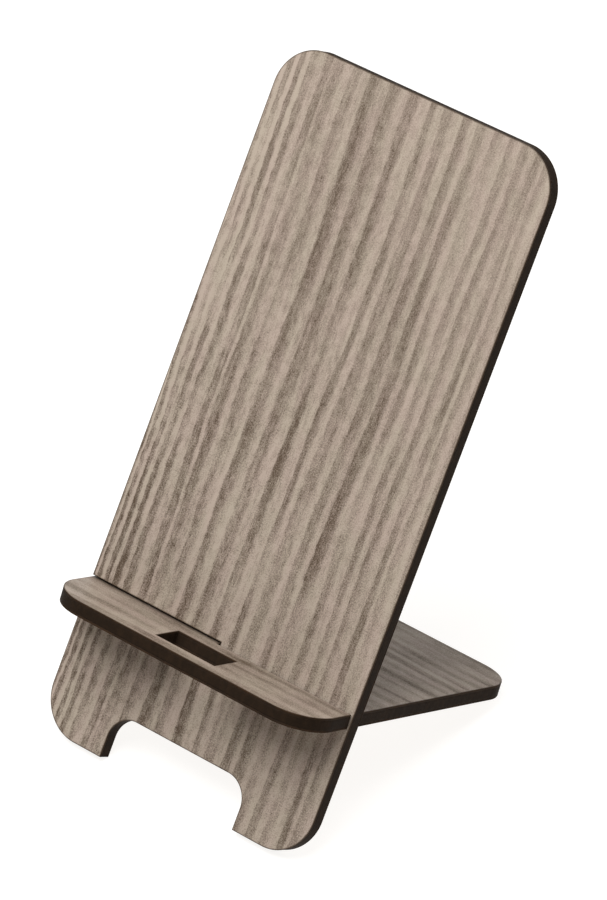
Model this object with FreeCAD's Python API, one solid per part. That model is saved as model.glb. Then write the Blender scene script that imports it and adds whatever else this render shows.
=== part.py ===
"""Two-board phone stand that slots together.

A tall back panel leans backwards and a shorter base board crosses it. Each board is cut
from veneered fibreboard: a core with a wood veneer glued to both faces. A slot reaches
half way across each board, from the left edge of the back panel and from the right edge
of the base board, and the two slots slide into each other. The base board is then the
phone's shelf in front of the panel and the rear leg behind it.

Millimetres. +X is to the right, +Y goes backwards and +Z is up. The origin is on the
ground, in the middle of the stand's own box.
"""
import FreeCAD, Part
import math
import os

# ---- boards ---------------------------------------------------------------------------
BOARD_THICKNESS = 3.2
VENEER_THICKNESS = 0.5

PANEL_WIDTH = 70.0
PANEL_LENGTH = 152.5
PANEL_CORNER_RADIUS = 9.7

BASE_WIDTH = 69.7
SHELF_DEPTH = 15.5           # in front of the panel's front face
LEG_LENGTH = 60.5            # behind the panel's front face
SHELF_CORNER_RADIUS = 9.5
LEG_CORNER_RADIUS = 8.8

# ---- openings for the charging cable ----------------------------------------------------
NOTCH_WIDTH = 35.6           # between the panel's two feet
NOTCH_HEIGHT = 10.2
NOTCH_RADIUS = 5.5
NOTCH_CENTRE_X = -0.2
HOLE_WIDTH = 15.4            # in the shelf
HOLE_DEPTH = 7.7
HOLE_FROM_PANEL = 4.1
HOLE_CENTRE_X = -0.4

# ---- joint between the boards -----------------------------------------------------------
CROSSING_ANGLE = 97.0        # degrees, between the panel above the shelf and the shelf
SHELF_HEIGHT = 33.2          # up the panel's front face, to the top of the shelf
SLOT_PLAY = 0.05             # free space on each side of the board in a slot
PANEL_SLOT_DEPTH = 34.7
BASE_SLOT_DEPTH = 35.15
SEAT_GAP = 0.3               # left between the ends of the two slots

# ---- worked out from the above ------------------------------------------------------------
TILT = math.radians(CROSSING_ANGLE - 90)
SLANT_THICKNESS = BOARD_THICKNESS / math.cos(TILT)    # of a board, measured along a slot's side
SLANT_SHIFT = BOARD_THICKNESS * math.tan(TILT)        # of a board, through the other's thickness
CORE_THICKNESS = BOARD_THICKNESS - 2 * VENEER_THICKNESS

PANEL_SLOT_END = -PANEL_WIDTH / 2 + PANEL_SLOT_DEPTH
PANEL_SLOT_BOTTOM = SHELF_HEIGHT - SLANT_THICKNESS - SLOT_PLAY
PANEL_SLOT_TOP = SHELF_HEIGHT + SLANT_SHIFT + SLOT_PLAY

BASE_SLOT_END = PANEL_SLOT_END - SEAT_GAP
BASE_RIGHT = BASE_SLOT_END + BASE_SLOT_DEPTH
BASE_LEFT = BASE_RIGHT - BASE_WIDTH
BASE_SLOT_FRONT = -SLANT_SHIFT - SLOT_PLAY
BASE_SLOT_REAR = SLANT_THICKNESS + SLOT_PLAY

# The stand rests on the panel's lower rear edge and the leg's lower rear edge, so the
# lean is the angle that puts both on the ground.
LEG_DROP = SHELF_HEIGHT + LEG_LENGTH * math.sin(TILT) - BOARD_THICKNESS * math.cos(TILT)
LEG_REACH = LEG_LENGTH * math.cos(TILT) + BOARD_THICKNESS * (math.sin(TILT) - 1)
LEAN = math.atan2(LEG_DROP, LEG_REACH)
STAND_DEPTH = PANEL_LENGTH * math.sin(LEAN) + BOARD_THICKNESS * math.cos(LEAN)


def outline(corners):
    """A closed wire through corners given as x, y, radius. Radius 0 is a sharp corner."""
    points = [FreeCAD.Vector(x, y, 0) for x, y, radius in corners]
    arrivals = []
    departures = []
    edges = []
    for i, corner in enumerate(points):
        radius = corners[i][2]
        to_last = (points[i - 1] - corner).normalize()
        to_next = (points[(i + 1) % len(points)] - corner).normalize()
        half_angle = to_last.getAngle(to_next) / 2
        reach = radius / math.tan(half_angle)
        arrivals.append(corner + to_last * reach)
        departures.append(corner + to_next * reach)
        if radius > 0:
            inwards = (to_last + to_next).normalize()
            middle = corner + inwards * (radius / math.sin(half_angle) - radius)
            edges.append(Part.Arc(arrivals[i], middle, departures[i]).toShape())
    for i, start in enumerate(departures):
        end = arrivals[(i + 1) % len(points)]
        edges.append(Part.LineSegment(start, end).toShape())
    return Part.Wire(Part.__sortEdges__(edges))


def panel_wires():
    """The back panel: x across it, y up its length from the feet."""
    left = -PANEL_WIDTH / 2
    right = PANEL_WIDTH / 2
    notch_left = NOTCH_CENTRE_X - NOTCH_WIDTH / 2
    notch_right = NOTCH_CENTRE_X + NOTCH_WIDTH / 2
    board = outline([
        (left, 0, PANEL_CORNER_RADIUS),
        (notch_left, 0, 0),
        (notch_left, NOTCH_HEIGHT, NOTCH_RADIUS),
        (notch_right, NOTCH_HEIGHT, NOTCH_RADIUS),
        (notch_right, 0, 0),
        (right, 0, PANEL_CORNER_RADIUS),
        (right, PANEL_LENGTH, PANEL_CORNER_RADIUS),
        (left, PANEL_LENGTH, PANEL_CORNER_RADIUS),
        (left, PANEL_SLOT_TOP, 0),
        (PANEL_SLOT_END, PANEL_SLOT_TOP, 0),
        (PANEL_SLOT_END, PANEL_SLOT_BOTTOM, 0),
        (left, PANEL_SLOT_BOTTOM, 0),
    ])
    return [board]


def base_wires():
    """The base board and its cable hole: x across, y backwards from the panel's front."""
    board = outline([
        (BASE_LEFT, -SHELF_DEPTH, SHELF_CORNER_RADIUS),
        (BASE_RIGHT, -SHELF_DEPTH, SHELF_CORNER_RADIUS),
        (BASE_RIGHT, BASE_SLOT_FRONT, 0),
        (BASE_SLOT_END, BASE_SLOT_FRONT, 0),
        (BASE_SLOT_END, BASE_SLOT_REAR, 0),
        (BASE_RIGHT, BASE_SLOT_REAR, 0),
        (BASE_RIGHT, LEG_LENGTH, LEG_CORNER_RADIUS),
        (BASE_LEFT, LEG_LENGTH, LEG_CORNER_RADIUS),
    ])
    left = HOLE_CENTRE_X - HOLE_WIDTH / 2
    right = HOLE_CENTRE_X + HOLE_WIDTH / 2
    hole_front = -HOLE_FROM_PANEL - HOLE_DEPTH
    hole = outline([
        (left, hole_front, 0),
        (right, hole_front, 0),
        (right, -HOLE_FROM_PANEL, 0),
        (left, -HOLE_FROM_PANEL, 0),
    ])
    return [board, hole]


def laminate(wires, placement, names):
    """The glued layers of one board, named from its show face down."""
    layers = {}
    surface = 0
    for name, thickness in zip(names, (VENEER_THICKNESS, CORE_THICKNESS, VENEER_THICKNESS)):
        face = Part.makeFace(wires, "Part::FaceMakerBullseye")
        face.translate(FreeCAD.Vector(0, 0, surface))
        solid = face.extrude(FreeCAD.Vector(0, 0, -thickness))
        layers[name] = solid.transformed(placement.toMatrix())
        surface -= thickness
    return layers


def board_placement(origin, lift):
    """A board with its own x on +X and its length raised from +Y towards +Z by lift."""
    return FreeCAD.Placement(origin, FreeCAD.Rotation(FreeCAD.Vector(1, 0, 0), math.degrees(lift)))


def make_stand():
    """Every layer of both boards, by name, standing on the ground."""
    panel_lift = math.pi / 2 - LEAN
    middle_x = (BASE_LEFT + PANEL_WIDTH / 2) / 2
    foot = FreeCAD.Vector(-middle_x, -STAND_DEPTH / 2, BOARD_THICKNESS * math.sin(LEAN))
    panel = board_placement(foot, panel_lift)
    junction = panel.multVec(FreeCAD.Vector(0, SHELF_HEIGHT, 0))
    base = board_placement(junction, panel_lift + TILT - math.pi / 2)
    stand = laminate(panel_wires(), panel, (
        "back_panel_front_veneer",
        "back_panel_core",
        "back_panel_rear_veneer",
    ))
    stand.update(laminate(base_wires(), base, (
        "base_board_top_veneer",
        "base_board_core",
        "base_board_underside_veneer",
    )))
    return stand


os.makedirs("parts", exist_ok=True)
for node, solid in make_stand().items():
    solid.exportStep(f"parts/{node}.step")
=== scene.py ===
"""Looks of a slot-together phone stand: two veneered boards with laser-cut edges.

Each board is three pieces, as on the real stand: a core and a veneer on each face. Their
meshes are built flat, in the board's own frame, and stand where the CAD has the board.
A board's own x runs across it, y along it and z out of its show face, which is at z = 0.
"""
import math

import bpy
import numpy as np
from mathutils import Matrix, Vector, noise
from mathutils.geometry import delaunay_2d_cdt


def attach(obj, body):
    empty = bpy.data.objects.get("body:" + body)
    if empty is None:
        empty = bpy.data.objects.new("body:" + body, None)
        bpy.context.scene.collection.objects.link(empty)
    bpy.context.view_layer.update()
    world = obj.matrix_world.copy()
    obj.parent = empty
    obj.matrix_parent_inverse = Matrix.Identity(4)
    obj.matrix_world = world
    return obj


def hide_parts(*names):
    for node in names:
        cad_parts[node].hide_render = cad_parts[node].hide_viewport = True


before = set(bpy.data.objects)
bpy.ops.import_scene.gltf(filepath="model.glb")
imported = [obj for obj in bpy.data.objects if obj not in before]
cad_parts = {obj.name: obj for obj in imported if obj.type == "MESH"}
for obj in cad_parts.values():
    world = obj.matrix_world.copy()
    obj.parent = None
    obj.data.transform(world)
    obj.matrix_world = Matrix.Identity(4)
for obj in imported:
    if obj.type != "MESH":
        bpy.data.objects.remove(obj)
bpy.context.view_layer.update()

MM = 0.001

# ---- the boards' shape, beyond what the frame gives ---------------------------------------
VENEER = 0.5 * MM
PANEL_CORNER_RADIUS = 9.7 * MM
SHELF_CORNER_RADIUS = 9.5 * MM
LEG_CORNER_RADIUS = 8.8 * MM
SHELF_HEIGHT = 33.2 * MM             # up the panel's front face, to the shelf's top
NOTCH_WIDTH = 35.6 * MM
NOTCH_HEIGHT = 10.2 * MM
NOTCH_RADIUS = 5.5 * MM
NOTCH_CENTRE_X = -0.2 * MM
HOLE_WIDTH = 15.4 * MM
HOLE_DEPTH = 7.7 * MM
HOLE_FROM_PANEL = 4.1 * MM
HOLE_CENTRE_X = -0.4 * MM
SLOT_PLAY = 0.05 * MM
PANEL_SLOT_DEPTH = 34.7 * MM
SEAT_GAP = 0.3 * MM

# ---- surface detail ---------------------------------------------------------------------
ARRIS = 0.12 * MM                    # radius of a board's edges
FLAT_MARGIN = 0.6 * MM               # strip beside the edge, where the grain relief fades out
OUTLINE_STEP = 0.3 * MM
GRID_MARGIN = 1.3 * FLAT_MARGIN      # strip beside the edge that keeps no grid points
STRIATION_STEP = 0.12 * MM
STRIATION_DEPTH = 0.035 * MM
STRIATION_ROWS = 8                   # of quads, through a core's thickness
FINE_RIDGE = (0.4 * MM, 7 * MM, 3.7)     # size along the edge and through it, and seed
BROAD_RIDGE = (5 * MM, 4 * MM, 8.1)
FAINT = 0.4                          # share of the striation's depth on a veneer's rim
GRAIN_ACROSS = 0.3 * MM              # spacing of a veneer face's vertices
GRAIN_ALONG = 1.2 * MM
GRAIN_RELIEF = 0.012 * MM            # depth of the soft, dark part of a growth ring

# ---- colours, as linear light -------------------------------------------------------------
OLIVE_WOOD = (0.396, 0.333, 0.265)
ROSY_WOOD = (0.408, 0.326, 0.271)
DARK_WOOD = (0.080, 0.052, 0.032)
SCORCHED_WOOD = (0.053, 0.032, 0.017)
CHAR = (0.016, 0.0098, 0.0058)
CHAR_BROWN = (0.050, 0.027, 0.0135)
FLOOR_GREY = 0.21
FLOOR_GLOW = 0.91
FLOOR_GLOW_COLOUR = (1.0, 0.985, 0.965)

# ---- marks of the wood --------------------------------------------------------------------
# Each is noise: its size across and along the grain in mm, its seed, detail and roughness.
DRIFT = (60, 150, 0, 1.0, 0.5)
WANDER = (12, 42, 5, 2.0, 0.5)
JITTER = (1.5, 2.6, 7, 2.0, 0.5)
BREAKS = (7, 30, 9, 2.0, 0.5)
STREAKS = (1.4, 22, 11, 2.0, 0.6)
FIBRES = (0.42, 2.6, 13, 2.0, 0.6)
PORES = (0.27, 1.6, 17, 2.0, 0.6)
FLECKS = (0.27, 0.33, 23, 3.0, 0.8)
BLOTCHES = (1.0, 2.4, 27, 2.0, 0.5)
TONE = (9, 80, 29, 2.0, 0.5)
CLOUDS = (8, 16, 37, 2.0, 0.5)
TINT = (4, 11, 43, 2.0, 0.5)
# Not a mark of the wood but painted highlights: light specks for pores that catch the light.
PAINTED_GLINTS = (0.25, 0.38, 47, 1.0, 0.5)

# The same for a charred edge, along it and through the board.
SOOT = (1.6, 2.4, 2, 3.0, 0.6)
GRIT = (0.18, 0.5, 6, 3.0, 0.7)
CHAR_PATCHES = (6.0, 5.0, 9, 2.0, 0.5)

# How far, in mm, three of them push a growth ring sideways.
DRIFT_REACH = 8.0
WANDER_REACH = 3.2
JITTER_REACH = 0.65
RINGS_APART = 9.0                    # in BREAKS, so that each ring breaks off by itself

# How dark the others make the wood: 1 is all the way from light wood to dark.
RING_DARKNESS = 0.59
STREAK_DARKNESS = 0.70
FIBRE_DARKNESS = 0.45
BLOTCH_DARKNESS = 0.70
PORE_DARKNESS = 0.30
FLECK_DARKNESS = 1.95
# Below 0: the painted glints lighten the wood, as painted highlights.
PAINTED_GLINT_DARKNESS = -0.30
TONE_DARKNESS = 0.60

# Where the rings crowd together at the panel's left edge, in mm.
CROWD_EDGE_X = -36.0
CROWD_REACH = 6.0
NARROWING_X = -5.0                   # rightwards of this the rings slowly get narrower

# ---- camera, from the origin on the ground ------------------------------------------------
CAMERA_AZIMUTH = math.radians(40.07)         # to the right of straight ahead
CAMERA_ELEVATION = math.radians(37.77)
CAMERA_ROLL = math.radians(-0.53)
CAMERA_DISTANCE = 1.2228
CAMERA_AIM = Vector((-0.0193, 0.0247, 0.0404))
CAMERA_LENS = 234.07                         # for a 36 mm long side


# ---- outlines ---------------------------------------------------------------------------
def outline(corners, step, inset=0.0):
    """Points and outward normals round x, y, radius corners, counter-clockwise.

    A clockwise outline is a hole's, and its normals point into the hole. The points
    are moved inset into the board.
    """
    spots = [Vector(c[:2]) for c in corners]
    count = len(spots)
    points = []
    normals = []
    for i, spot in enumerate(spots):
        radius = corners[i][2]
        arriving = (spot - spots[i - 1]).normalized()
        leaving = (spots[(i + 1) % count] - spot).normalized()
        turn = arriving.angle_signed(leaving) * -1
        first = Vector((arriving.y, -arriving.x))
        last = Vector((leaving.y, -leaving.x))
        reach = radius * abs(math.tan(turn / 2))
        if radius == 0:
            points.append(spot)
            normals.append((first + last) / (1 + first.dot(last)))
        else:
            centre = spot - arriving * reach - first * radius * math.copysign(1, turn)
            pieces = math.ceil(radius * abs(turn) / step)
            for k in range(pieces + 1):
                normal = first.copy()
                normal.rotate(Matrix.Rotation(turn * k / pieces, 2))
                points.append(centre + normal * radius * math.copysign(1, turn))
                normals.append(normal)
        after = (i + 1) % count
        next_turn = leaving.angle_signed(spots[(i + 2) % count] - spots[after])
        next_reach = corners[after][2] * abs(math.tan(next_turn / 2))
        start = spot + leaving * reach
        run = (spots[after] - leaving * next_reach) - start
        pieces = math.ceil(run.length / step)
        for k in range(1, pieces):
            points.append(start + run * k / pieces)
            normals.append(last)
    points = np.array(points)
    normals = np.array(normals)
    return points - normals * inset, normals


def inside(spots, loops):
    """True for each spot that lies inside the first loop and outside the others."""
    found = np.zeros(len(spots), bool)
    x, y = spots[:, 0], spots[:, 1]
    for loop in loops:
        for (x0, y0), (x1, y1) in zip(loop, np.roll(loop, -1, axis=0)):
            if y0 != y1:
                crosses = (y0 > y) != (y1 > y)
                found ^= crosses & (x < x0 + (y - y0) * (x1 - x0) / (y1 - y0))
    return found


# ---- board meshes -----------------------------------------------------------------------
class Sheet:
    """A closed mesh of one layer of a board, put together ring by ring.

    Each point has an edge_share, which is 1 on a face and falls to 0 at its rim.
    """

    def __init__(self, wires, step):
        self.wires = wires
        self.step = step
        self.points = []
        self.faces = []
        self.edge_share = []
        self.face_finish = []

    def loops(self, inset):
        return [outline(wire, self.step, inset)[0] for wire in self.wires]

    def add_points(self, spots, heights, share):
        first = len(self.points)
        self.points += [(x, y, z) for (x, y), z in zip(spots, heights)]
        self.edge_share += [share] * len(spots)
        return first

    def ring(self, inset, height, share, relief=None):
        """The outline's points at one height. relief(along, height) pulls them in."""
        starts = []
        for number, wire in enumerate(self.wires):
            spots, normals = outline(wire, self.step, inset)
            if relief:
                pulls = [relief(k * self.step + number, height) for k in range(len(spots))]
                spots = spots - normals * np.array(pulls)[:, None]
            starts.append((self.add_points(spots, [height] * len(spots), share), len(spots)))
        return starts

    def wall(self, upper, lower, finish):
        """Quads between two rings, facing outwards."""
        for (a, count), (b, _) in zip(upper, lower):
            for k in range(count):
                after = (k + 1) % count
                self.faces.append((a + k, b + k, b + after, a + after))
                self.face_finish.append(finish)

    def cap(self, ring, inset, upwards, finish, grid=None):
        """Closes a ring with triangles, over grid points if there are any."""
        loops = self.loops(inset)
        spots = np.concatenate(loops)
        indices = [k for start, count in ring for k in range(start, start + count)]
        edges = []
        first = 0
        for loop in loops:
            count = len(loop)
            edges += [(first + k, first + (k + 1) % count) for k in range(count)]
            first += count
        if grid is not None:
            start = self.add_points(grid, [self.points[indices[0]][2]] * len(grid), 1.0)
            indices += range(start, start + len(grid))
            spots = np.concatenate([spots, grid])
        made = delaunay_2d_cdt([Vector(s) for s in spots], edges, [], 0, 1e-9)
        _, _, triangles, origins, _, _ = made
        given = np.array([found[0] for found in origins])
        triangles = given[np.array(triangles)]
        kept = inside(spots[triangles].mean(axis=1), loops)
        for triangle in triangles[kept]:
            corners = [indices[k] for k in triangle]
            self.faces.append(tuple(corners if upwards else corners[::-1]))
            self.face_finish.append(finish)

    def make(self, name, finishes):
        mesh = bpy.data.meshes.new(name)
        mesh.from_pydata(self.points, [], self.faces)
        for material in finishes:
            mesh.materials.append(material)
        mesh.polygons.foreach_set("material_index", self.face_finish)
        mesh.polygons.foreach_set("use_smooth", [True] * len(self.faces))
        share = mesh.attributes.new("edge_share", "FLOAT", "POINT")
        share.data.foreach_set("value", self.edge_share)
        mesh.validate()
        piece = bpy.data.objects.new(name, mesh)
        bpy.context.scene.collection.objects.link(piece)
        return piece


def grain_grid(wires, spacing_x, spacing_y):
    """Grid points well inside a board's outline, alternate rows half a step over."""
    loops = [outline(wire, OUTLINE_STEP, GRID_MARGIN)[0] for wire in wires]
    low = loops[0].min(axis=0)
    high = loops[0].max(axis=0)
    columns = np.arange(low[0], high[0], spacing_x)
    rows = np.arange(low[1], high[1], spacing_y)
    x, y = np.meshgrid(columns, rows)
    x[1::2] += spacing_x / 2
    spots = np.stack([x.ravel(), y.ravel()], axis=1)
    return spots[inside(spots, loops)]


def ridges(along, height, kind):
    size_along, size_through, seed = kind
    return noise.noise(Vector((along / size_along, height / size_through, seed)))


def striation(along, height):
    """How far a laser-cut edge is eaten in: fine ridges that run through the board."""
    fine = ridges(along, height, FINE_RIDGE)
    broad = ridges(along, height, BROAD_RIDGE)
    return STRIATION_DEPTH * (0.5 + 0.5 * fine + 0.4 * broad)


def faint_striation(along, height):
    return FAINT * striation(along, height)


def veneer_piece(name, wires, thickness, show_side, spacing, finishes):
    """A veneer with a softened arris and a laser-cut rim. show_side is 1 for a board's
    show face and -1 for its other face."""
    face = 0.0 if show_side > 0 else -thickness
    core_side = face - show_side * VENEER
    wood = 0                         # places in finishes
    char = 1
    sheet = Sheet(wires, OUTLINE_STEP)
    profile = [                      # inset, depth and edge_share, from the face to the rim
        (FLAT_MARGIN, 0.0, 1.0),
        (FLAT_MARGIN / 2, 0.0, 0.5),
        (ARRIS, 0.0, 0.15),
        (ARRIS * 0.3, ARRIS * 0.3, 0.05),
        (0.0, ARRIS, 0.0),
    ]
    charred_from = 3
    rings = []
    for inset, depth, share in profile:
        rings.append(sheet.ring(inset, face - show_side * depth, share))
    rings.append(sheet.ring(0.0, (face + core_side) / 2, 0.0, faint_striation))
    rings.append(sheet.ring(0.0, core_side, 0.0, faint_striation))
    for number, (outer, inner) in enumerate(zip(rings, rings[1:])):
        upper, lower = (outer, inner) if show_side > 0 else (inner, outer)
        sheet.wall(upper, lower, wood if number < charred_from else char)
    sheet.cap(rings[0], FLAT_MARGIN, show_side > 0, wood, grain_grid(wires, *spacing))
    sheet.cap(rings[-1], 0.0, show_side < 0, char)
    return sheet.make(name, finishes)


def core_piece(name, wires, thickness, finishes):
    """The core of a board, its cut edge ridged by the laser."""
    sheet = Sheet(wires, STRIATION_STEP)
    rings = []
    for row in range(STRIATION_ROWS + 1):
        height = -VENEER - (thickness - 2 * VENEER) * row / STRIATION_ROWS
        rings.append(sheet.ring(0.0, height, 0.0, striation))
    for upper, lower in zip(rings, rings[1:]):
        sheet.wall(upper, lower, finish=0)
    sheet.cap(rings[0], 0.0, upwards=True, finish=0)
    sheet.cap(rings[-1], 0.0, upwards=False, finish=0)
    return sheet.make(name, finishes)


# ---- node trees -------------------------------------------------------------------------
class Tree:
    """Short names for the nodes that both materials and geometry use."""

    def __init__(self, tree):
        self.tree = tree

    def node(self, kind, **settings):
        made = self.tree.nodes.new(kind)
        for key, value in settings.items():
            setattr(made, key, value)
        return made

    def feed(self, socket, value):
        if isinstance(value, bpy.types.NodeSocket):
            self.tree.links.new(value, socket)
        else:
            socket.default_value = value

    def math(self, operation, *values, clamp=False):
        made = self.node("ShaderNodeMath", operation=operation, use_clamp=clamp)
        for socket, value in zip(made.inputs, values):
            self.feed(socket, value)
        return made.outputs[0]

    def add(self, a, b):
        return self.math("ADD", a, b)

    def times(self, a, b):
        return self.math("MULTIPLY", a, b)

    def ramp(self, value, low, high, to_low=0.0, to_high=1.0):
        """value from low..high to to_low..to_high, eased and held at both ends."""
        made = self.node("ShaderNodeMapRange", interpolation_type="SMOOTHSTEP")
        for key, number in zip((1, 2, 3, 4), (low, high, to_low, to_high)):
            self.feed(made.inputs[key], number)
        self.feed(made.inputs[0], value)
        return made.outputs[0]

    def noise(self, x, y, size_x, size_y, seed, detail, roughness):
        """Noise from 0 to 1 whose spots are about size_x by size_y millimetres."""
        place = self.node("ShaderNodeCombineXYZ")
        self.feed(place.inputs[0], self.times(x, 1 / size_x))
        self.feed(place.inputs[1], self.times(y, 1 / size_y))
        place.inputs[2].default_value = seed
        made = self.node("ShaderNodeTexNoise", noise_dimensions="3D")
        self.feed(made.inputs["Vector"], place.outputs[0])
        made.inputs["Scale"].default_value = 1.0
        made.inputs["Detail"].default_value = detail
        made.inputs["Roughness"].default_value = roughness
        return made.outputs[0]

    def chance(self, value):
        """A number from 0 to 1 that jumps at random from one whole value to the next."""
        made = self.node("ShaderNodeTexWhiteNoise", noise_dimensions="1D")
        self.feed(made.inputs["W"], value)
        return made.outputs["Value"]

    def swing(self, value, reach):
        """Noise of 0 to 1 as a swing about 0, reach wide from end to end."""
        return self.times(self.add(value, -0.5), reach)

    def mix(self, share, a, b):
        made = self.node("ShaderNodeMix", data_type="RGBA")
        # Sockets 6, 7 and 2 are the node's colour ones.
        self.feed(made.inputs[0], share)
        for socket, colour in ((made.inputs[6], a), (made.inputs[7], b)):
            self.feed(socket, (*colour, 1.0) if isinstance(colour, tuple) else colour)
        return made.outputs[2]


class Grain:
    """The figure of one veneer.

    across is the board's axis across the grain, 0 for x and 1 for y. ring_width is in mm.
    shade darkens the whole veneer, bold strengthens the figure, softness is how slowly a
    ring starts, and cloudy adds broad patches. tight_left and tight_right say how much the
    panel's rings crowd together at its sides. The last argument is the strip that has soot
    from the charred slot and painted shade in the crease in front of it.
    """

    def __init__(
        self, across, seed, ring_width, shade, bold=1.0, softness=0.13, cloudy=0.0,
        tight_left=0.0, tight_right=0.0, soot_and_shade_strip=None,
    ):
        self.across = across
        self.seed = seed
        self.ring_width = ring_width
        self.shade = shade
        self.bold = bold
        self.softness = softness
        self.cloudy = cloudy
        self.tight_left = tight_left
        self.tight_right = tight_right
        self.soot_and_shade_strip = soot_and_shade_strip

    def axes(self, t, position):
        """The board's own position in millimetres, across the grain and along it."""
        parts = t.node("ShaderNodeSeparateXYZ")
        t.feed(parts.inputs[0], position)
        x = t.times(parts.outputs[self.across], 1 / MM)
        y = t.times(parts.outputs[1 - self.across], 1 / MM)
        return x, y

    def mark(self, t, x, y, kind):
        """Noise from 0 to 1 of one of the kinds listed above."""
        across, along, seed, detail, roughness = kind
        return t.noise(x, y, across, along, self.seed + seed, detail, roughness)

    def pick(self, t, number, seed, low, high):
        """A value from low to high that each growth ring has for itself."""
        return t.add(low, t.times(t.chance(t.add(number, self.seed + seed)), high - low))

    def crowd(self, t, x):
        """1 at the board's left edge, where the rings crowd together, fading to 0."""
        from_left = t.math("MAXIMUM", t.add(x, -CROWD_EDGE_X), 0.0)
        return t.math("EXPONENT", t.times(from_left, -1 / CROWD_REACH))

    def rings(self, t, x, y):
        """Darkness of the growth rings, 0 to 1: each starts sharply and fades out."""
        shifted = t.add(x, t.swing(self.mark(t, x, y, DRIFT), DRIFT_REACH))
        shifted = t.add(shifted, t.swing(self.mark(t, x, y, WANDER), WANDER_REACH))
        shifted = t.add(shifted, t.swing(self.mark(t, x, y, JITTER), JITTER_REACH))
        count = t.times(shifted, 1 / self.ring_width)
        if self.tight_left:
            count = t.add(count, t.times(self.crowd(t, shifted), -self.tight_left))
            rightwards = t.math("MAXIMUM", t.add(shifted, -NARROWING_X), 0.0)
            count = t.add(count, t.times(t.times(rightwards, rightwards), self.tight_right))
        number = t.math("FLOOR", count)
        phase = t.math("FRACT", count)
        strength = self.pick(t, number, seed=0, low=0.60, high=1.0)
        start = self.pick(t, number, seed=40, low=0.08, high=0.42)
        end = t.add(start, self.pick(t, number, seed=80, low=0.20, high=0.56))
        rise = t.ramp(phase, start, t.add(start, self.softness))
        fade = t.ramp(phase, end, 1.0, 1.0, 0.0)
        own_place = t.times(number, RINGS_APART)
        lasting = t.ramp(self.mark(t, own_place, y, BREAKS), 0.28, 0.58, 0.40, 1.0)
        return t.times(t.times(rise, fade), t.times(strength, lasting))


def relieve_grain(piece, grain, show_side):
    """Sinks the soft, dark part of each growth ring by GRAIN_RELIEF."""
    group = bpy.data.node_groups.new("grain relief", "GeometryNodeTree")
    group.interface.new_socket("Geometry", in_out="INPUT", socket_type="NodeSocketGeometry")
    group.interface.new_socket("Geometry", in_out="OUTPUT", socket_type="NodeSocketGeometry")
    t = Tree(group)
    given = t.node("NodeGroupInput")
    result = t.node("NodeGroupOutput")
    place = t.node("GeometryNodeInputPosition")
    x, y = grain.axes(t, place.outputs[0])
    share = t.node("GeometryNodeInputNamedAttribute", data_type="FLOAT")
    share.inputs["Name"].default_value = "edge_share"
    deep = t.times(grain.rings(t, x, y), t.ramp(share.outputs[0], 0.6, 1.0))
    offset = t.node("ShaderNodeCombineXYZ")
    t.feed(offset.inputs[2], t.times(deep, -show_side * GRAIN_RELIEF))
    move = t.node("GeometryNodeSetPosition")
    t.feed(move.inputs["Geometry"], given.outputs[0])
    t.feed(move.inputs["Offset"], offset.outputs[0])
    t.feed(result.inputs[0], move.outputs[0])
    modifier = piece.modifiers.new("grain relief", "NODES")
    modifier.node_group = group
    graph = bpy.context.evaluated_depsgraph_get()
    finished = bpy.data.meshes.new_from_object(
        piece.evaluated_get(graph), preserve_all_data_layers=True, depsgraph=graph
    )
    piece.modifiers.clear()
    piece.data = finished


# ---- materials --------------------------------------------------------------------------
def new_material(name):
    material = bpy.data.materials.new(name)
    material.use_nodes = True
    t = Tree(material.node_tree)
    shader = material.node_tree.nodes["Principled BSDF"]
    place = t.node("ShaderNodeTexCoord")
    return material, t, shader, place.outputs["Object"]


def roughen(t, shader, height, strength, depth):
    """Bumps the surface by a height of 0 to 1, which stands for depth."""
    bump = t.node("ShaderNodeBump")
    bump.inputs["Strength"].default_value = strength
    bump.inputs["Distance"].default_value = depth
    t.feed(bump.inputs["Height"], height)
    t.feed(shader.inputs["Normal"], bump.outputs[0])


def soot_and_crease_shade(t, position, slot, patches):
    """Soot on the strip of a board that slides in the other's charred slot, and painted shade
    in the crease just in front of it, where the boards meet: slot is how far right it goes,
    and its front and rear, in millimetres."""
    parts = t.node("ShaderNodeSeparateXYZ")
    t.feed(parts.inputs[0], position)
    x = t.times(parts.outputs[0], 1 / MM)
    y = t.times(parts.outputs[1], 1 / MM)
    right, front, rear = slot
    mark = t.ramp(x, right - 0.4, right, 1.0, 0.0)
    # Painted shade: the mark reaches 1.1 mm in front of the slot, darkening the shelf into the
    # crease.
    mark = t.times(mark, t.ramp(y, front - 1.1, front + 0.2))
    mark = t.times(mark, t.ramp(y, rear - 0.25, rear + 0.15, 1.0, 0.0))
    return t.times(mark, t.ramp(patches, 0.3, 0.7, 0.78, 0.55))


def uneven_panel(t, grain, x, y, bold, flecks):
    """The panel's grain is bolder at the left edge and low down, and fainter to the right. At the
    top it is fainter and lighter, a painted sheen of the light there. Its flecks are bolder low
    down."""
    middling = 0.3
    crowd = grain.crowd(t, x)
    bold = t.times(bold, t.add(t.ramp(x, -4, 22, 1.08, 0.78), t.times(crowd, 0.60)))
    bold = t.add(bold, t.times(crowd, -0.47))
    # Painted sheen: the grain fades at the top, so the top comes out lighter, as if lit more
    # brightly.
    bold = t.times(bold, t.ramp(y, 85, 150, 1.0, 0.80))
    bold = t.add(t.times(t.add(bold, -middling), t.ramp(y, 30, 90, 1.18, 1.0)), middling)
    return bold, t.times(flecks, t.ramp(y, 60, 110, 1.4, 1.0))


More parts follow.
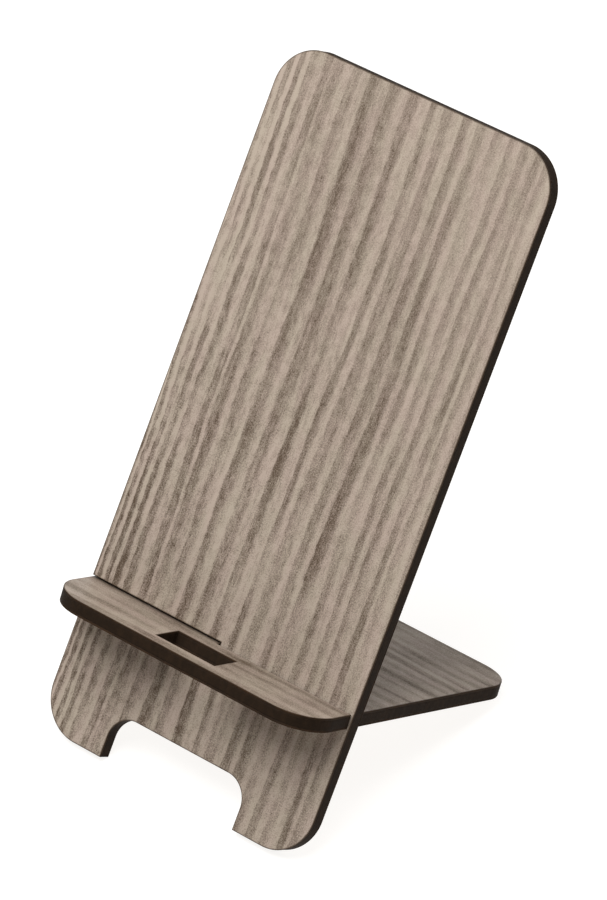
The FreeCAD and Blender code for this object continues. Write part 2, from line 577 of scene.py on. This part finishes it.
def veneer_material(name, grain):
    """Grey-brown ash-look veneer: soft dark rings, open pores and fine fibres, satin."""
    material, t, shader, position = new_material(name)
    x, y = grain.axes(t, position)
    rings = grain.rings(t, x, y)
    streaks = grain.mark(t, x, y, STREAKS)
    fibres = grain.mark(t, x, y, FIBRES)
    flecks = t.add(grain.mark(t, x, y, FLECKS), -0.5)
    blotches = grain.mark(t, x, y, BLOTCHES)
    pores = t.times(t.ramp(grain.mark(t, x, y, PORES), 0.56, 0.72), t.add(0.35, rings))
    # Painted highlights: light specks in the colour where pores would catch the light.
    painted_glints = t.ramp(grain.mark(t, x, y, PAINTED_GLINTS), 0.60, 0.76)

    bold = t.times(rings, RING_DARKNESS)
    bold = t.add(bold, t.swing(streaks, STREAK_DARKNESS))
    bold = t.add(bold, t.swing(fibres, FIBRE_DARKNESS))
    bold = t.add(bold, t.swing(blotches, BLOTCH_DARKNESS))
    bold = t.add(bold, t.times(pores, PORE_DARKNESS))
    if grain.tight_left:
        bold, flecks = uneven_panel(t, grain, x, y, bold, flecks)
    dark = t.times(bold, grain.bold)
    dark = t.add(dark, t.times(flecks, FLECK_DARKNESS))
    dark = t.add(dark, t.times(painted_glints, PAINTED_GLINT_DARKNESS))
    dark = t.add(dark, t.swing(grain.mark(t, x, y, TONE), TONE_DARKNESS))
    dark = t.add(dark, t.swing(grain.mark(t, x, y, CLOUDS), grain.cloudy))
    dark = t.math("ADD", dark, grain.shade, clamp=True)
    light = t.mix(t.ramp(grain.mark(t, x, y, TINT), 0.3, 0.7), OLIVE_WOOD, ROSY_WOOD)
    colour = t.mix(dark, light, DARK_WOOD)

    share = t.node("ShaderNodeAttribute", attribute_name="edge_share").outputs["Fac"]
    scorch = t.ramp(t.add(share, t.swing(blotches, 0.4)), 0.10, 0.60, 0.90, 0.0)
    colour = t.mix(scorch, colour, SCORCHED_WOOD)
    # Soot from the slot, and painted shade in the crease in front of the panel.
    if grain.soot_and_shade_strip:
        colour = t.mix(soot_and_crease_shade(t, position, grain.soot_and_shade_strip, blotches), colour, CHAR_BROWN)
    t.feed(shader.inputs["Base Color"], colour)
    t.feed(shader.inputs["Roughness"], t.ramp(t.add(dark, pores), 0.0, 1.4, 0.40, 0.66))
    shader.inputs["Specular IOR Level"].default_value = 0.28

    height = t.times(rings, -0.35)
    height = t.add(height, t.times(pores, -1.0))
    height = t.add(height, t.times(fibres, 0.45))
    height = t.add(height, t.times(flecks, 0.25))
    roughen(t, shader, height, 0.55, 0.06 * MM)
    return material


def char_material(name, thickness):
    """The cut edge: fibreboard charred near-black, browner beside the two veneers."""
    material, t, shader, position = new_material(name)
    parts = t.node("ShaderNodeSeparateXYZ")
    t.feed(parts.inputs[0], position)
    x, y, z = (t.times(parts.outputs[k], 1 / MM) for k in range(3))
    soot = t.noise(t.add(x, y), z, *SOOT)
    grit = t.noise(t.add(x, t.times(y, 1.3)), z, *GRIT)
    patches = t.noise(t.add(x, y), z, *CHAR_PATCHES)
    middle = -thickness / MM / 2
    from_middle = t.math("ABSOLUTE", t.add(z, -middle))
    rim = t.ramp(from_middle, -middle - 0.7, -middle)
    brown = t.times(rim, t.ramp(patches, 0.35, 0.70, 0.15, 0.75))
    brown = t.math("ADD", brown, t.ramp(soot, 0.35, 0.8, 0.0, 0.25), clamp=True)
    t.feed(shader.inputs["Base Color"], t.mix(brown, CHAR, CHAR_BROWN))
    t.feed(shader.inputs["Roughness"], t.ramp(grit, 0.3, 0.7, 0.55, 0.8))
    shader.inputs["Specular IOR Level"].default_value = 0.05
    roughen(t, shader, t.add(t.times(grit, 0.6), t.times(soot, 0.4)), 0.5, 0.05 * MM)
    return material


def light_table():
    """A floor that glows nearly white by itself, so that shadows on it stay pale."""
    material, _, shader, _ = new_material("pale floor")
    shader.inputs["Base Color"].default_value = (FLOOR_GREY, FLOOR_GREY, FLOOR_GREY, 1.0)
    shader.inputs["Roughness"].default_value = 0.7
    shader.inputs["Specular IOR Level"].default_value = 0.2
    shader.inputs["Emission Color"].default_value = (*FLOOR_GLOW_COLOUR, 1.0)
    shader.inputs["Emission Strength"].default_value = FLOOR_GLOW
    return material


# ---- the two boards -----------------------------------------------------------------------
def show_normal(node):
    """The way a flat node's upper side faces, from its largest face."""
    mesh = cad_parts[node].data
    ups = [p for p in mesh.polygons if p.normal.z > 0]
    return max(ups, key=lambda p: p.area).normal.copy()


def local_box(nodes, placement):
    """Lowest and highest corner of some nodes in a board's own frame."""
    back = placement.inverted()
    corners = [back @ v.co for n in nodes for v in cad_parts[n].data.vertices]
    low = Vector([min(c[k] for c in corners) for k in range(3)])
    high = Vector([max(c[k] for c in corners) for k in range(3)])
    return low, high


def board_axes(node):
    """A placement at the origin with the board's x on +X and z on its show normal."""
    normal = show_normal(node)
    across = Vector((1, 0, 0))
    along = normal.cross(across)
    return Matrix((across, along, normal)).transposed().to_4x4()


PANEL_NODES = ["back_panel_front_veneer", "back_panel_core", "back_panel_rear_veneer"]
BASE_NODES = ["base_board_top_veneer", "base_board_core", "base_board_underside_veneer"]

panel_axes = board_axes(PANEL_NODES[0])
panel_low, panel_high = local_box(PANEL_NODES, panel_axes)
thickness = panel_high.z - panel_low.z
panel_length = panel_high.y - panel_low.y
panel_half = (panel_high.x - panel_low.x) / 2
panel_foot = Vector((panel_low.x + panel_half, panel_low.y, panel_high.z))
panel_place = Matrix.Translation(panel_axes @ panel_foot) @ panel_axes

base_axes = board_axes(BASE_NODES[0])
junction = panel_place @ Vector((0, SHELF_HEIGHT, 0))
base_place = Matrix.Translation(junction) @ base_axes
base_low, base_high = local_box(BASE_NODES, base_place)

tilt = panel_axes.col[1].to_3d().angle(-base_axes.col[1].to_3d()) - math.pi / 2
slant_thickness = thickness / math.cos(tilt)
slant_shift = thickness * math.tan(tilt)
panel_slot_end = PANEL_SLOT_DEPTH - panel_half
base_slot_end = panel_slot_end - SEAT_GAP


def panel_wires():
    left = NOTCH_CENTRE_X - NOTCH_WIDTH / 2
    right = NOTCH_CENTRE_X + NOTCH_WIDTH / 2
    slot_bottom = SHELF_HEIGHT - slant_thickness - SLOT_PLAY
    slot_top = SHELF_HEIGHT + slant_shift + SLOT_PLAY
    return [[
        (-panel_half, 0, PANEL_CORNER_RADIUS),
        (left, 0, 0),
        (left, NOTCH_HEIGHT, NOTCH_RADIUS),
        (right, NOTCH_HEIGHT, NOTCH_RADIUS),
        (right, 0, 0),
        (panel_half, 0, PANEL_CORNER_RADIUS),
        (panel_half, panel_length, PANEL_CORNER_RADIUS),
        (-panel_half, panel_length, PANEL_CORNER_RADIUS),
        (-panel_half, slot_top, 0),
        (panel_slot_end, slot_top, 0),
        (panel_slot_end, slot_bottom, 0),
        (-panel_half, slot_bottom, 0),
    ]]


def base_wires():
    slot_front = -slant_shift - SLOT_PLAY
    slot_rear = slant_thickness + SLOT_PLAY
    left = HOLE_CENTRE_X - HOLE_WIDTH / 2
    right = HOLE_CENTRE_X + HOLE_WIDTH / 2
    front = -HOLE_FROM_PANEL - HOLE_DEPTH
    board = [
        (base_low.x, base_low.y, SHELF_CORNER_RADIUS),
        (base_high.x, base_low.y, SHELF_CORNER_RADIUS),
        (base_high.x, slot_front, 0),
        (base_slot_end, slot_front, 0),
        (base_slot_end, slot_rear, 0),
        (base_high.x, slot_rear, 0),
        (base_high.x, base_high.y, LEG_CORNER_RADIUS),
        (base_low.x, base_high.y, LEG_CORNER_RADIUS),
    ]
    hole = [
        (left, front, 0),
        (left, -HOLE_FROM_PANEL, 0),
        (right, -HOLE_FROM_PANEL, 0),
        (right, front, 0),
    ]
    return [board, hole]


def make_board(wires, place, body, nodes, spacing, show_grain, back_grain):
    """The three layers of a board, each standing for its CAD node."""
    char = char_material(f"{body} char", thickness)
    show = veneer_material(f"{body} show veneer", show_grain)
    back = veneer_material(f"{body} back veneer", back_grain)
    show_node, core_node, back_node = nodes
    made = {
        show_node: veneer_piece(f"{show_node}_sheet", wires, thickness, 1, spacing, [show, char]),
        core_node: core_piece(f"{core_node}_cut", wires, thickness, [char]),
        back_node: veneer_piece(f"{back_node}_sheet", wires, thickness, -1, spacing, [back, char]),
    }
    relieve_grain(made[show_node], show_grain, 1)
    relieve_grain(made[back_node], back_grain, -1)
    for node, piece in made.items():
        piece.matrix_world = place
        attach(piece, body)
        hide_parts(node)


make_board(
    panel_wires(), panel_place, "back_panel", PANEL_NODES, (GRAIN_ACROSS, GRAIN_ALONG),
    Grain(across=0, seed=3.0, ring_width=4.8, shade=0.195, tight_left=3.4, tight_right=0.0013),
    Grain(across=0, seed=61.0, ring_width=4.2, shade=0.20),
)
# The strip with soot from the panel's slot and painted crease shade: right end, front and rear in
# mm.
soot_and_shade_strip = (base_slot_end / MM, 0.0, slant_thickness / MM)
make_board(
    base_wires(), base_place, "base_board", BASE_NODES, (GRAIN_ALONG, GRAIN_ACROSS),
    Grain(
        across=1, seed=127.0, ring_width=4.4, shade=0.30, bold=0.64, softness=0.30, cloudy=0.85,
        soot_and_shade_strip=soot_and_shade_strip,
    ),
    Grain(across=1, seed=211.0, ring_width=4.4, shade=0.28, bold=0.70, softness=0.30, cloudy=0.7),
)


# ---- stage, light and camera ----------------------------------------------------------------
def make_floor():
    half = 4.0
    corners = [(-half, -half, 0), (half, -half, 0), (half, half, 0), (-half, half, 0)]
    mesh = bpy.data.meshes.new("floor")
    mesh.from_pydata(corners, [], [(0, 1, 2, 3)])
    mesh.materials.append(light_table())
    floor = bpy.data.objects.new("floor", mesh)
    bpy.context.scene.collection.objects.link(floor)


def soft_light(name, place, aim, size, watts):
    data = bpy.data.lights.new(name, "AREA")
    data.shape = "SQUARE"
    data.size = size
    data.energy = watts
    light = bpy.data.objects.new(name, data)
    light.location = place
    light.rotation_euler = (Vector(aim) - Vector(place)).to_track_quat("-Z", "Y").to_euler()
    bpy.context.scene.collection.objects.link(light)


def make_world(strength):
    world = bpy.data.worlds.new("studio")
    world.use_nodes = True
    background = world.node_tree.nodes["Background"]
    background.inputs["Color"].default_value = (1.0, 1.0, 1.0, 1.0)
    background.inputs["Strength"].default_value = strength
    bpy.context.scene.world = world


def make_camera():
    data = bpy.data.cameras.new("camera")
    data.lens = CAMERA_LENS
    data.sensor_width = 36.0
    data.clip_start = 0.05
    data.clip_end = 20.0
    camera = bpy.data.objects.new("camera", data)
    flat = math.cos(CAMERA_ELEVATION)
    back = Vector((
        math.sin(CAMERA_AZIMUTH) * flat,
        -math.cos(CAMERA_AZIMUTH) * flat,
        math.sin(CAMERA_ELEVATION),
    ))
    turn = (-back).to_track_quat("-Z", "Y").to_matrix()
    camera.matrix_world = (
        Matrix.Translation(CAMERA_AIM + back * CAMERA_DISTANCE)
        @ (turn @ Matrix.Rotation(CAMERA_ROLL, 3, "Z")).to_4x4()
    )
    bpy.context.scene.collection.objects.link(camera)
    bpy.context.scene.camera = camera


make_floor()
make_world(strength=0.05)
soft_light("key", (-0.08, -0.22, 0.88), (0, 0, 0.06), size=0.7, watts=11.6)
soft_light("rear fill", (0.30, 1.00, 0.75), (0, 0.05, 0.02), size=0.8, watts=5.5)
make_camera()
bpy.context.scene.view_settings.view_transform = "Standard"
